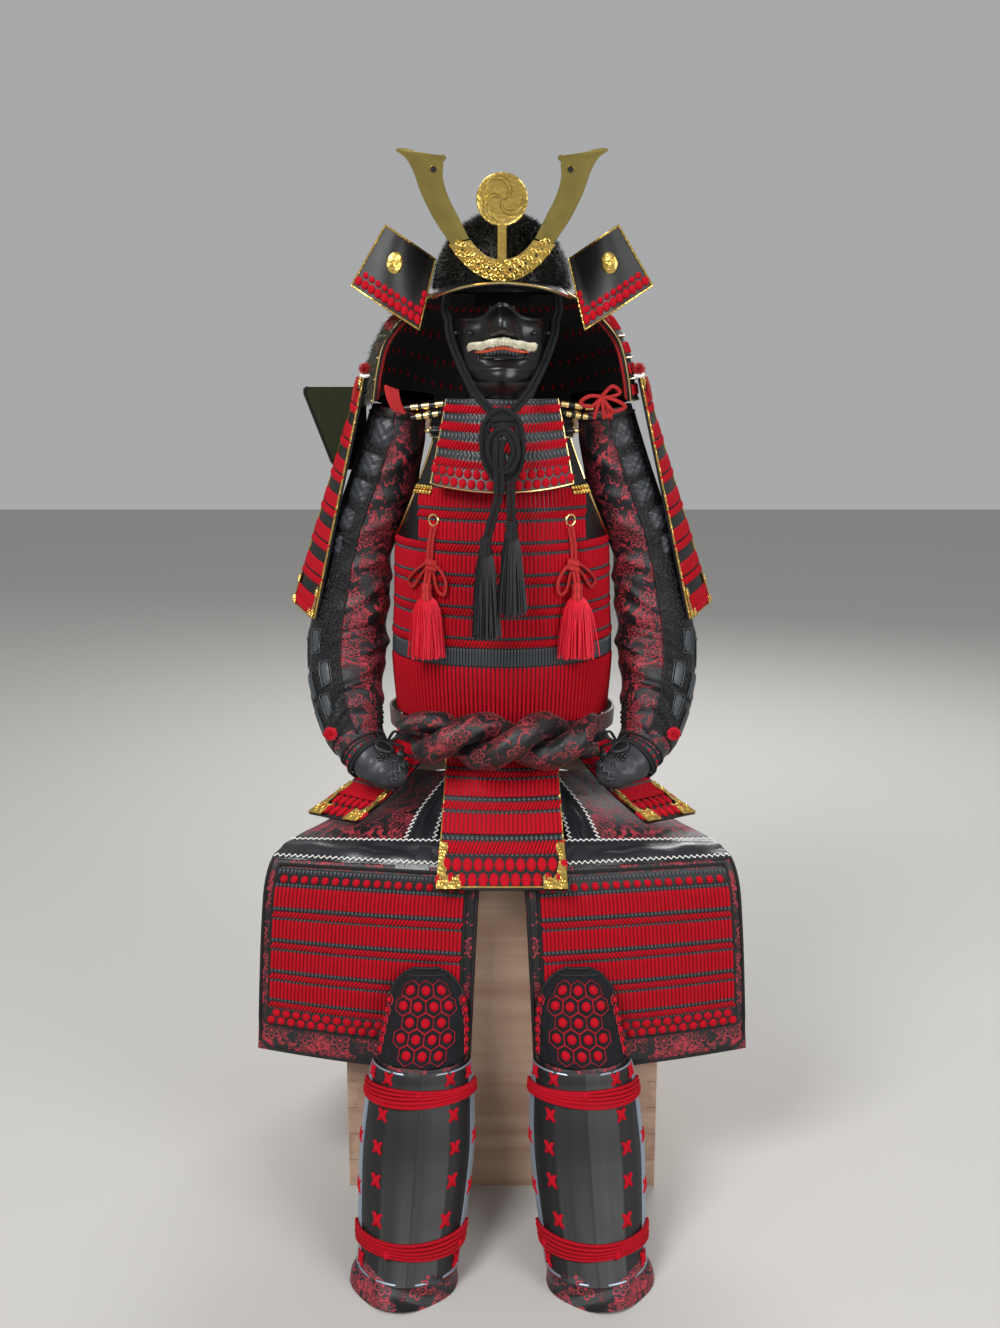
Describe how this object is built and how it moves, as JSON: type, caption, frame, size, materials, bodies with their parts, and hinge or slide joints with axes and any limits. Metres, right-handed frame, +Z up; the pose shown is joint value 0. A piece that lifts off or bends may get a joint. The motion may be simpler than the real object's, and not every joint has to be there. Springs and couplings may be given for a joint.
{
  "type": "samurai armour on a wooden armour chest and stand",
  "caption": "Suit of red-laced samurai armour with a crested helmet and face mask, displayed seated on a square wooden armour chest with a stand inside.",
  "frame": {"origin": "middle of the chest's underside, on the floor", "axes": "+X to the viewer's right and the wearer's left, +Y to the back, +Z up; the armour faces -Y"},
  "size_m": [0.724, 0.718, 1.499],
  "materials": {
    "red_lacing": "matte braided silk lacing",
    "black_lacquer": "satin black lacquer",
    "brocade": "black brocade with a dull red woven pattern",
    "black_cloth": "matte black cotton",
    "black_cord": "matte black braid",
    "brass": "polished brass",
    "wood": "pale straight-grained wood",
    "black_fur": "short black fur",
    "white_hair": "pale bristle",
    "dark_plate": "dark olive lacquered hide",
    "black_leather": "glossy black leather",
    "white_thread": "white stitching",
    "bright_steel": "bright steel edge",
    "mail": "black mail"
  },
  "bodies": {
    "root": {"cuirass_front": "red_lacing", "cuirass_back": "red_lacing", "tasset_front": "red_lacing", "tasset_side_r": "red_lacing", "tasset_side_l": "red_lacing", "tasset_rear_r": "red_lacing", "tasset_rear_l": "red_lacing", "thigh_plates_r": "red_lacing", "thigh_plates_l": "red_lacing", "shoulder_guard_r": "red_lacing", "shoulder_guard_l": "red_lacing", "throat_guard": "red_lacing", "chest_cord_r": "red_lacing", "chest_cord_l": "red_lacing", "red_tassel_r": "red_lacing", "red_tassel_l": "red_lacing", "chest_plate": "black_lacquer", "shoulder_strap_r": "black_lacquer", "shoulder_strap_l": "black_lacquer", "hand_guard_r": "black_lacquer", "hand_guard_l": "black_lacquer", "shin_plates_r": "black_lacquer", "shin_plates_l": "black_lacquer", "helmet_bowl": "black_lacquer", "neck_guard": "black_lacquer", "visor": "black_lacquer", "turnback_r": "black_lacquer", "turnback_l": "black_lacquer", "mask": "black_lacquer", "belt_band": "brocade", "belt_twist_a": "brocade", "belt_twist_b": "brocade", "thigh_cloth_r": "brocade", "thigh_cloth_l": "brocade", "sleeve_r": "brocade", "sleeve_l": "brocade", "gaiter_r": "brocade", "gaiter_l": "brocade", "knee_pad_r": "black_cloth", "knee_pad_l": "black_cloth", "chin_cord_r": "black_cord", "chin_cord_l": "black_cord", "chin_knot": "black_cord", "pendant_cord_a": "black_cord", "pendant_cord_b": "black_cord", "black_tassel_a": "black_cord", "black_tassel_b": "black_cord", "crest_base": "brass", "crest_horn_r": "brass", "crest_horn_l": "brass", "crest_disc": "brass", "chest_ring_r": "brass", "chest_ring_l": "brass", "chest_body": "wood", "chest_lid": "wood", "stand": "wood", "helmet_fur": "black_fur", "moustache": "white_hair", "rear_plate": "dark_plate"}
  },
  "joints": []
}
